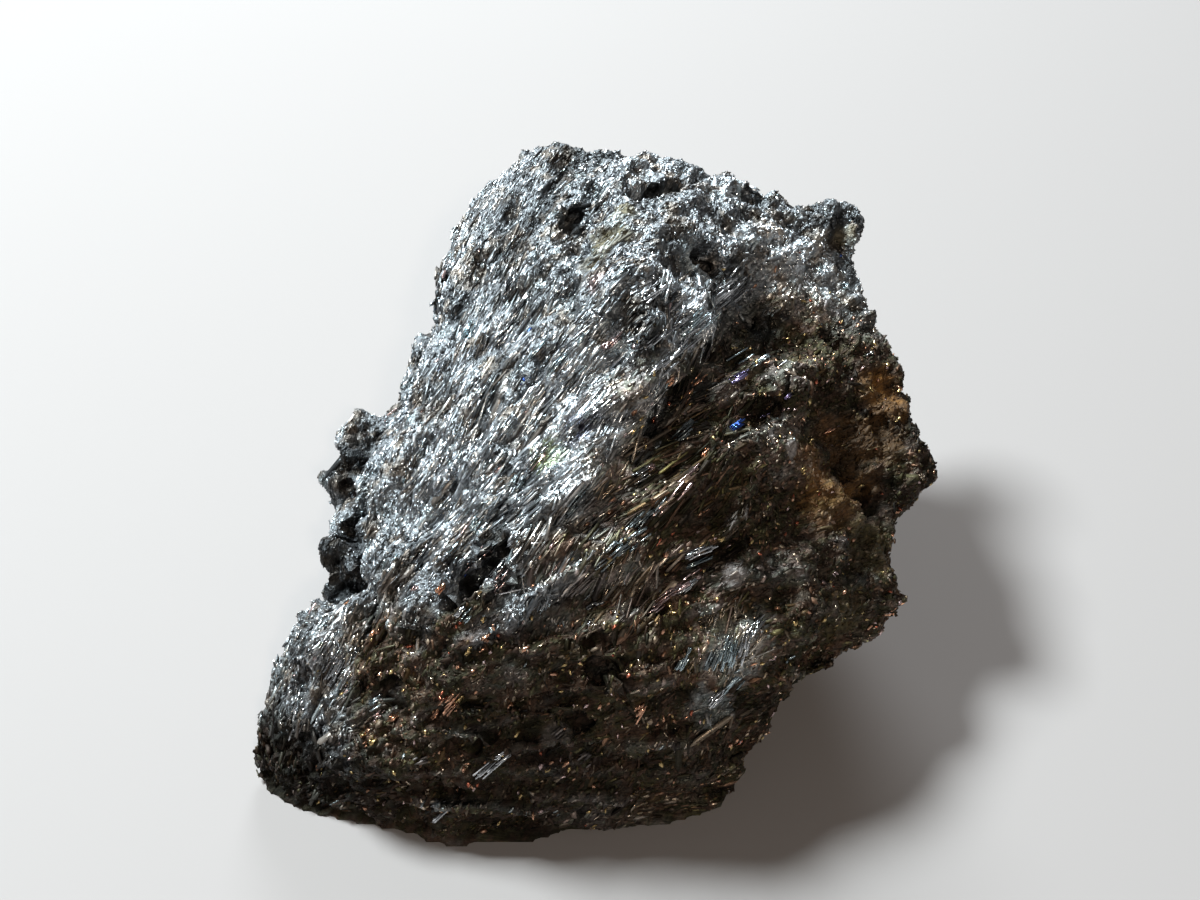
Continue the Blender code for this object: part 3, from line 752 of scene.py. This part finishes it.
class Tone:
    """Colour, roughness and metal of many places, and which of them are sparks or catch a lamp."""

    def __init__(self, p, unshaded, marks, rng=None):
        """p: the places. bare: how open each is. rng: for flakes, which differ at random."""
        self.p, self.marks, self.rng = p, marks, rng
        self.count = len(p)
        back = crest(p)
        # Painted shade: closed places, and more so those in the grooves between the ridges, get a darker
        # colour and fewer fresh flakes.
        unshaded = smooth(*OPEN_EDGE, unshaded) * between(OPEN_BY_GROOVE, smooth(*GROOVED_EDGE, back))
        self.warm = warm_share(p) * between(WARM_BY_CREST, smooth(*CREST_EDGE, back))
        # The crests get a painted highlight through the clumping.
        self.clump = pattern(p, CLUMPS, CLUMP_LEVEL + CREST_HIGHLIGHT * back)
        # The broad areas paint light and shade: lighter where light falls, darker where shade falls.
        gain, self.light = self.areas()
        self.shine = self.fresh_share(unshaded, gain)
        lightness = between(LIGHT_BY_CLUMP, np.clip(self.clump, 0, 1)) * np.maximum(self.light, 1)
        self.colour = self.stone() * (between(LIGHT_BY_OPEN, unshaded) * lightness)[:, None]
        self.rough = between(ROUGH_BY_WARM, self.warm)
        self.metal = between(METAL_BY_WARM, self.warm)
        self.sparks = np.zeros(self.count, bool)
        if rng is not None:
            self.freshen()
        self.stain()
        if rng is not None:
            self.spark()
        self.limit()

    def areas(self):
        """What the broad areas of painted light and shade add to the share of fresh flakes, and how
        light they are.
        """
        gain, light = np.zeros(self.count), np.ones(self.count)
        for centre, radius, more, lighter in self.marks["areas"]:
            share = around(self.p, centre, radius, AREA_FADE)
            gain += more * share
            light *= lighter ** share
        return gain, light

    def fresh_share(self, unshaded, gain):
        """The share of fresh flakes at each place."""
        broad = between(FRESH_BY_BROAD, cover(self.p, *BROAD))
        share = FRESH * (FRESH_START + self.clump) * broad
        share = share * between(FRESH_BY_WARM, self.warm) + gain
        return np.clip(share * between(FRESH_BY_OPEN, unshaded), *FRESH_LIMITS)

    def stone(self):
        """The colour of the metal that isn't fresh, under its tarnish and earth."""
        base = blend(np.tile(LEAD, (self.count, 1)), TARNISH, cover(self.p, *TARNISHED))
        base = blend(base, np.array(TINTS["teal"][0]), cover(self.p, *TEALED))
        if self.rng is None:
            grit = pattern(self.p, EARTHED_SKIN)
        else:
            grit = EARTHED_FLAKES * self.rng.normal(0, 1, self.count)
        earth = (pattern(self.p, EARTHED) + grit) * EARTH_STEP + EARTH_MIDDLE
        kind = np.clip(np.floor(earth), 0, len(EARTHS) - 1).astype(int)
        return blend(base, EARTHS[kind], WARM_MOST * self.warm)

    def freshen(self):
        """Makes some flakes fresh and bright, and lets some of those catch a lamp."""
        rng, count = self.rng, self.count
        fresh = rng.random(count) < self.shine
        self.colour *= np.exp(rng.normal(*DULL_SPREAD, count))[:, None]
        bright = np.exp(rng.normal(*BRIGHT_SPREAD, count)) * between(BRIGHT_BY_WARM, self.warm)
        silver = blend(np.tile(SILVER, (count, 1)), ROSE, self.warm)
        self.colour[fresh] = (silver * bright[:, None])[fresh]
        glossy = rng.uniform(*FRESH_ROUGHNESS, count)
        self.rough = np.where(fresh, glossy, self.rough + rng.uniform(*ROUGH_SPREAD, count))
        self.metal[fresh] = 1.0
        self.lit = fresh & (rng.random(count) < LIT_MOST * smooth(*LIT_EDGE, self.clump))

    def stain(self):
        """Lays the patches over it."""
        for centre, radius, tint, strength in self.marks["patches"]:
            share = around(self.p, centre, radius, PATCH_FADE, PATCH_EDGE_NOISE) * strength
            if self.rng is not None:
                share *= self.rng.uniform(*STAIN_SPREAD, self.count)
            stain, grit = TINTS[tint]
            self.colour = blend(self.colour, np.array(stain), share)
            self.rough = self.rough * (1 - share) + grit * share
            if tint in EARTHY:
                self.metal = self.metal * (1 - share)

    def spark(self):
        """Tints single flakes: warm sparks, which catch a lamp, and cold ones."""
        odds = self.rng.random(self.count)
        flock = between(ODDS_BY_FLOCK, cover(self.p, *FLOCKS))
        for tint, low, high in WARM_SPARKS:
            chosen = (odds >= low) & (odds < high) & (self.rng.random(self.count) < self.warm * flock)
            self.colour[chosen], self.rough[chosen] = TINTS[tint][0], WARM_SPARK_ROUGHNESS
            self.metal[chosen] = 1.0
            self.sparks |= chosen
        for tint, low, high in COLD_SPARKS:
            chosen = (odds >= low) & (odds < high) & (self.rng.random(self.count) > self.warm)
            self.colour[chosen], self.rough[chosen] = TINTS[tint][0], COLD_SPARK_ROUGHNESS
        self.lit |= self.sparks

    def limit(self):
        """Darkens the areas of painted shade and keeps every value within its limits."""
        self.colour = np.clip(self.colour * np.minimum(self.light, 1)[:, None], 0, BRIGHTEST)
        self.rough = np.clip(self.rough, *ROUGHNESS_LIMITS)
        self.metal = np.clip(self.metal, 0, 1)


def paint(mesh, colour, rough, metal, repeat=1):
    """Stores a tone on the mesh's vertices as two colour attributes."""
    for name, values in (("tint", colour), ("finish", np.stack((rough, metal, rough * 0), 1))):
        rgba = np.ones((len(values) * repeat, 4))
        rgba[:, :3] = np.repeat(values, repeat, axis=0)
        layer = mesh.color_attributes.new(name, "FLOAT_COLOR", "POINT")
        layer.data.foreach_set("color", rgba.ravel())


# ---- flakes

def pick_spots(surface, values, count, rng):
    """Random spots on the skin, above the foot and outside the cuts, which the last of the
    vertices' values tells; and those values there."""
    mesh, places = surface.mesh, surface.places
    mesh.calc_loop_triangles()
    corners = np.empty(len(mesh.loop_triangles) * 3, int)
    mesh.loop_triangles.foreach_get("vertices", corners)
    corners = corners.reshape(-1, 3)
    a, b, c = (places[corners[:, i]] for i in range(3))
    area = np.linalg.norm(np.cross(b - a, c - a), axis=1)
    middle = (a + b + c) / 3
    area[middle[:, 2] < LOWEST_FLAKE] = 0
    area[(values[corners, -1] > 0).any(1)] = 0
    chosen = rng.choice(len(corners), count, p=area / area.sum())
    u, v = rng.random(count), rng.random(count)
    over = u + v > 1
    u[over], v[over] = 1 - u[over], 1 - v[over]
    corners = corners[chosen]
    share = np.stack((1 - u - v, u, v), 1)[:, :, None]
    return (places[corners] * share).sum(1), (values[corners] * share).sum(1)


def turned(v, axis, angle):
    """Each vector turned about its axis, which is square to it."""
    return v * np.cos(angle)[:, None] + np.cross(axis, v) * np.sin(angle)[:, None]


def fitted(tree, spots, along, reach):
    """Shortens each reach until the tip no longer stands clear of the skin."""
    reach = reach.copy()
    for i in range(len(spots)):
        for _ in range(FIT_TRIES):
            tip = Vector((spots[i] + along[i] * reach[i]).tolist())
            near, normal, _, _ = tree.find_nearest(tip)
            if (tip - near).dot(normal) < FIT_CLEAR:
                break
            reach[i] *= FIT_SHORTER
    return reach


def turned_to_light(surface, places, along, normals, bend):
    """Ways along and out of flakes that throw the light they can best reflect at the camera.

    bend: how far, as a slope, a flake may lean away from or towards the camera for that."""
    glint, lean = np.zeros_like(along), np.zeros(len(along))
    best = np.full(len(along), np.inf)
    for _, lamp, _, _, _ in LAMPS:
        to_lamp = unit(lamp - places)
        way = unit(to_lamp + unit(EYE - places))
        slope = -dot(along, way) / dot(FORWARD, way)
        cost = np.maximum(np.abs(slope) - bend, 0)
        cost += LOW_COST * np.maximum(LAMP_RISE - dot(normals, to_lamp), 0)
        cost += SHADE_COST * surface.blocks(places + normals * SHADE_START, to_lamp)
        better = cost < best
        glint[better], best[better] = way[better], cost[better]
        lean[better] = np.clip(slope, -bend, bend)[better]
    along = unit(along + lean[:, None] * FORWARD)
    return along, unit(glint - along * dot(along, glint)[:, None])


def flake_corners(spots, along, out, low, high, width, thick, rng):
    """The eight corners of every flake."""
    side = np.cross(along, out)
    tip = np.minimum(width * rng.uniform(*TIP_LENGTH, len(width)), TIP_MOST * (low + high))
    corners = np.empty((len(spots), CORNERS, 3))
    for ring, reach in ((0, -(low - tip)), (3, high - tip)):
        base = spots + along * reach[:, None]
        half = rng.uniform(*RING_WIDTH, (2, len(width))) * width / 2
        corners[:, ring] = base + side * half[0][:, None]
        corners[:, ring + 1] = base - side * half[1][:, None]
        corners[:, ring + 2] = base - out * thick[:, None]
    aside = rng.uniform(*TIP_ASIDE, (2, len(spots))) * width
    drop = out * (TIP_DROP * thick)[:, None]
    for k, (corner, reach) in enumerate(((6, -low), (7, high))):
        corners[:, corner] = spots + along * reach[:, None] + side * aside[k][:, None] - drop
    corners[:, :, 2] = np.maximum(corners[:, :, 2], LEAST_HEIGHT)
    return corners


def bake_map(mesh, count):
    """Gives each flake its own cell of a square map."""
    cell = np.arange(count)
    u = (cell % CELLS)[:, None] + MAP_ALONG[FACES][None]
    v = (cell // CELLS)[:, None] + MAP_ACROSS[FACES][None]
    layer = mesh.uv_layers.new(name="OFBake")
    layer.data.foreach_set("uv", (np.stack((u, v), -1) / CELLS).ravel())


def flake_object(name, corners):
    """One object of closed flakes from their corners."""
    count = len(corners)
    loops = FACES[None] + (np.arange(count) * CORNERS)[:, None]
    sizes = np.tile(FACE_SIZES, count)
    mesh = bpy.data.meshes.new(name)
    mesh.vertices.add(count * CORNERS)
    mesh.vertices.foreach_set("co", metres(corners.reshape(-1, 3)).ravel())
    mesh.loops.add(loops.size)
    mesh.loops.foreach_set("vertex_index", loops.ravel().astype(np.int32))
    mesh.polygons.add(len(sizes))
    mesh.polygons.foreach_set("loop_start", (np.cumsum(sizes) - sizes).astype(np.int32))
    mesh.update(calc_edges=True)
    bake_map(mesh, count)
    flakes = bpy.data.objects.new(name, mesh)
    bpy.context.scene.collection.objects.link(flakes)
    return flakes


def by_kind(measure, fibrous, grainy):
    """A measure of flakes, from its value for a plain one and what the two kinds add."""
    plain, for_fibres, for_grain = measure
    return plain + for_fibres * fibrous + for_grain * grainy


def flake_ways(p, marks, rng):
    """The way the fibres run at each flake, with steeper blades in the tuft."""
    steep = around(p, marks["tuft"], TUFT_SIZE, TUFT_FADE) * (rng.random(len(p)) < TUFT_SHARE)
    return unit(blend(fibre_way(p), TUFT_WAY, steep))


def flake_kinds(p, normals, marks, rng):
    """How fibrous and how grainy each flake is."""
    grainy = grain_share(p, normals)
    fibrous = cover(p, *FIBROUS) * (1 - grainy)
    for centre, radius, share in marks["sheaves"]:
        fibrous = np.maximum(fibrous, share * around(p, centre, radius, AREA_FADE))
    fibrous *= rng.random(len(p)) < FIBRE_SHARE
    return fibrous, grainy * between(GRAIN_BY_FIBRES, fibrous)


def laid(p, way, normals, fibrous, grainy, rng):
    """Ways along and out of flakes that lie down on the skin and follow the fibres loosely."""
    def angle(measure):
        return rng.normal(0, 1, len(p)) * by_kind(measure, fibrous, grainy)

    along = unit(way - normals * (dot(way, normals) * FLATTENED)[:, None])
    along = unit(turned(along, normals, np.radians(angle(YAW))))
    out = unit(normals - along * dot(along, normals)[:, None])
    out = unit(turned(out, along, np.radians(pattern(p, LEAN_DRIFT) + angle(LEAN))))
    side = np.cross(along, out)
    pitch = np.radians(angle(PITCH))
    return unit(turned(along, side, pitch)), unit(turned(out, side, pitch))


def flake_sizes(p, fibrous, grainy, sparks, rng):
    """Length and width of each flake."""
    coarse = pattern(p, COARSE, 1.0)
    length = np.exp(rng.normal(*LENGTH_SPREAD, len(p))) * by_kind(LENGTH, fibrous, grainy) * coarse
    width = np.exp(rng.normal(*WIDTH_SPREAD, len(p))) * between(WIDTH_BY_FIBRES, fibrous) * coarse
    broad = rng.random(len(p)) < BROAD_SHARE * between(BROADS_BY_GRAIN, grainy)
    length[broad] *= BROAD_LONGER
    width[broad] *= BROAD_WIDER
    length = np.clip(length * between(LENGTH_BY_GRAIN, grainy), *LENGTH_LIMITS)
    width = np.clip(width * between(WIDTH_BY_GRAIN, grainy), *WIDTH_LIMITS)
    length[sparks] = rng.uniform(*SPARK_LENGTH, sparks.sum())
    width[sparks] = rng.uniform(*SPARK_WIDTH, sparks.sum())
    return length, width


def grow_bundle(name, surface, values, marks, rng):
    """One piece: FLAKES flakes laid along the spray over the whole skin."""
    spots, found = pick_spots(surface, values, FLAKES, rng)
    normals, unshaded = unit(found[:, :3]), found[:, 3]
    tone = Tone(spots, unshaded, marks, rng)
    way = flake_ways(spots, marks, rng)
    fibrous, grainy = flake_kinds(spots, normals, marks, rng)
    along, out = laid(spots, way, normals, fibrous, grainy, rng)
    lit, bend = tone.lit, np.where(tone.sparks, SPARK_BEND, FLAKE_BEND)
    along[lit], out[lit] = turned_to_light(surface, spots[lit], along[lit], normals[lit], bend[lit])
    length, width = flake_sizes(spots, fibrous, grainy, tone.sparks, rng)
    low = fitted(surface.tree, spots, -along, length / 2)
    high = fitted(surface.tree, spots, along, length / 2)
    width = np.minimum(width, WIDEST * (low + high))
    thick = width * rng.uniform(*THICKNESS, FLAKES)
    lift = rng.uniform(*LIFT, FLAKES) + SPARK_LIFT * tone.sparks
    spots = spots + out * lift[:, None]
    bundle = flake_object(name, flake_corners(spots, along, out, low, high, width, thick, rng))
    paint(bundle.data, tone.colour, tone.rough, tone.metal, repeat=CORNERS)
    return bundle


def streak_blades(surface, rng):
    """The blades of STREAKS: both ends, middle and normal on the skin, width, colour, roughness."""
    for x0, y0, x1, y1, spread, count, tint in STREAKS:
        first, run = np.array((x0, y0)), np.array((x1 - x0, y1 - y0))
        pixels = np.linalg.norm(run)
        across = np.array((-run[1], run[0])) / pixels
        for _ in range(STREAK_TRIES * count):
            aside = across * spread * rng.uniform(*STREAK_ASIDE) + rng.normal(0, STREAK_WOBBLE, 2)
            share = rng.uniform(*STREAK_SHARE) * min(1, STREAK_LONGEST / pixels)
            start = first + aside + run * rng.uniform(0, 1 - share)
            end = start + run * share
            a, b = surface.at(*start)[0], surface.at(*end)[0]
            middle, normal = surface.at(*(start + end) / 2)
            if a is None or b is None or middle is None:
                continue
            if np.linalg.norm(b - a) < STREAK_STRETCH * share * pixels * PIXEL:
                width = rng.uniform(*STREAK_WIDTH) * spread / count * PIXEL
                yield a, b, middle, normal, np.clip(width, *STREAK_WIDTH_LIMITS), *TINTS[tint]


def grow_streaks(surface, rng):
    """One piece: the blades of STREAKS, each turned so that it catches a lamp."""
    blades = zip(*streak_blades(surface, rng))
    a, b, middle, normal, width, colour, rough = (np.array(column) for column in blades)
    count = len(a)
    half = np.linalg.norm(b - a, axis=1) / 2
    bend = np.clip(STREAK_BEND / half, *STREAK_BEND_LIMITS)
    along, out = turned_to_light(surface, middle, unit(b - a), normal, bend)
    along = unit(turned(along, out, rng.normal(0, STREAK_YAW, count)))
    out = unit(turned(out, along, rng.normal(0, STREAK_LEAN, count)))
    centre = (a + b) / 2
    lift = np.maximum(dot(middle - centre, normal), 0) + rng.uniform(*STREAK_LIFT, count)
    spots = centre + normal * lift[:, None]
    thick = width * STREAK_THICKNESS
    corners = flake_corners(spots, along, out, half, half, width, thick, rng)
    streaks = flake_object("spray_streaks", corners)
    colour = colour * rng.uniform(*STREAK_SHINE, (count, 1))
    paint(streaks.data, colour, rough, np.ones(count), repeat=CORNERS)
    return streaks


# ---- material

def stibnite(name, bump, mottling):
    """Metal whose colour and finish come from the mesh, with fibres finer than the flakes."""
    material = bpy.data.materials.new(name)
    material.use_nodes = True
    nodes, links = material.node_tree.nodes, material.node_tree.links
    shader = nodes["Principled BSDF"]

    def feed(socket, source):
        """Links a socket to another, or sets its value."""
        if isinstance(source, bpy.types.NodeSocket):
            links.new(source, socket)
        elif source is not None:
            socket.default_value = source

    def node(kind, *sources, **settings):
        """A new node's outputs. Settings are its own or, by name, those of its inputs."""
        made = nodes.new("ShaderNode" + kind)
        for key, value in settings.items():
            if hasattr(made, key):
                setattr(made, key, value)
            else:
                feed(made.inputs[key], value)
        for socket, source in zip(made.inputs, sources):
            feed(socket, source)
        return made.outputs

    def spread(source, usual, low, high):
        """Takes noise from its usual range to between low and high."""
        return node("MapRange", source, *usual, low, high)["Result"]

    tint = node("Attribute", attribute_name="tint")["Color"]
    finish = node("SeparateColor", node("Attribute", attribute_name="finish")["Color"])
    place = node("TexCoord")["Object"]
    ray = node("VectorMath", place, metres(SPRAY_SOURCE), operation="SUBTRACT")["Vector"]
    way = node("VectorMath", ray, operation="NORMALIZE")["Vector"]
    reach = node("VectorMath", ray, operation="LENGTH")["Value"]
    steps = node("Math", reach, FIBRES_ALONG, operation="MULTIPLY")["Value"]
    drawn = node("CombineXYZ", None, None, steps)["Vector"]
    sheaf = node("VectorMath", way, operation="SCALE", Scale=FIBRES_ACROSS)["Vector"]
    sheaf = node("VectorMath", sheaf, drawn, operation="ADD")["Vector"]
    fibre = node("TexNoise", sheaf, Scale=1.0, Detail=FIBRE_DETAIL, Roughness=FIBRE_ROUGHNESS)["Fac"]
    grit = node("TexNoise", place, Scale=GRIT_CELLS, Detail=GRIT_DETAIL)["Fac"]

    shade = spread(fibre, FIBRE_RANGE, 1 - mottling, 1 + mottling)
    speck = spread(grit, GRIT_RANGE, 1 - mottling / 2, 1 + mottling / 2)
    shade = node("Math", shade, speck, operation="MULTIPLY")["Value"]
    colour = node("VectorMath", tint, operation="SCALE", Scale=shade)["Vector"]
    blur = spread(grit, GRIT_RANGE, BLUR, -BLUR)
    rough = node("Math", finish["Red"], blur, operation="ADD", use_clamp=True)["Value"]
    relief = node("Math", fibre, grit, operation="ADD")["Value"]
    bumped = node("Bump", Strength=BUMP_STRENGTH, Distance=bump * MM, Height=relief)["Normal"]
    feed(shader.inputs["Base Color"], colour)
    feed(shader.inputs["Roughness"], rough)
    feed(shader.inputs["Metallic"], finish["Green"])
    feed(shader.inputs["Normal"], bumped)
    return material


# ---- stage

def make_floor():
    """A plain pale floor."""
    bpy.ops.mesh.primitive_plane_add(size=FLOOR_SIZE * MM, location=(0, 0, 0))
    floor = bpy.context.object
    floor.name = "floor"
    paper = bpy.data.materials.new("paper")
    paper.use_nodes = True
    shader = paper.node_tree.nodes["Principled BSDF"]
    shader.inputs["Base Color"].default_value = FLOOR_COLOUR
    shader.inputs["Roughness"].default_value = FLOOR_ROUGHNESS
    floor.data.materials.append(paper)


def make_lights():
    """Soft round lamps and a dim sky."""
    for name, place, size, power, colour in LAMPS:
        data = bpy.data.lights.new(name, "AREA")
        data.shape = "DISK"
        data.size = size * MM
        data.energy = power
        data.color = colour
        lamp = bpy.data.objects.new(name, data)
        lamp.location = metres(place)
        facing = Vector((0, 0, LAMP_AIM * MM)) - lamp.location
        lamp.rotation_euler = facing.to_track_quat("-Z", "Y").to_euler()
        bpy.context.scene.collection.objects.link(lamp)
    sky = bpy.data.worlds.new("studio")
    sky.use_nodes = True
    background = sky.node_tree.nodes["Background"]
    background.inputs["Color"].default_value = SKY_COLOUR
    background.inputs["Strength"].default_value = SKY_STRENGTH
    bpy.context.scene.world = sky
    bpy.context.scene.view_settings.view_transform = "Standard"


def make_camera():
    """A camera at the photograph's viewing angle."""
    data = bpy.data.cameras.new("camera")
    data.lens = LENS
    data.sensor_width = SENSOR
    data.clip_start = NEAREST * MM
    camera = bpy.data.objects.new("camera", data)
    camera.location = metres(EYE)
    camera.rotation_euler = (math.radians(90) - TILT, 0, 0)
    bpy.context.scene.collection.objects.link(camera)
    bpy.context.scene.camera = camera


# ---- specimen

def found_marks(surface):
    """The features given by pixels, with their places on the skin instead."""
    marks = {"patches": PATCHES, "areas": LIGHT_AND_SHADE_AREAS, "sheaves": SHEAVES}
    for name, rows in marks.items():
        rows = [(surface.at(x, y)[0], *rest) for x, y, *rest in rows]
        marks[name] = [row for row in rows if row[0] is not None]
    marks["tuft"] = surface.at(*TUFT)[0]
    cuts = [(surface.at(x0, y0)[0], surface.at(x1, y1)[0], *rest) for x0, y0, x1, y1, *rest in CUTS]
    marks["cuts"] = [cut for cut in cuts if cut[0] is not None and cut[1] is not None]
    return marks


def main():
    rng = np.random.default_rng(SEED)
    make_floor()
    make_lights()
    make_camera()

    skin = make_skin(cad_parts["stibnite_spray"])
    marks = found_marks(Surface(skin.data, survey_places(skin.data)))
    places, normals, clear = roughen(skin.data, marks["cuts"])
    surface = Surface(skin.data, places)
    unshaded = openness(surface, normals, rng)
    tone = Tone(places, unshaded, marks)
    paint(skin.data, tone.colour * SKIN_DARKER, tone.rough + SKIN_ROUGHER, tone.metal)
    values = np.hstack((normals, unshaded[:, None], clear[:, None]))
    bundles = [grow_bundle(f"spray_flakes_{i + 1}", surface, values, marks, rng) for i in range(BUNDLES)]
    streaks = grow_streaks(surface, rng)
    drop_bubbles(skin.data)

    fibre = stibnite(*FIBRE_LOOK)
    for bundle in bundles:
        bundle.data.materials.append(fibre)
    streaks.data.materials.append(stibnite(*FRESH_LOOK))
    skin.data.materials.clear()
    skin.data.materials.append(stibnite(*SKIN_LOOK))
    for piece in (*bundles, streaks, skin):
        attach(piece, "root")
        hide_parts("stibnite_spray")


main()
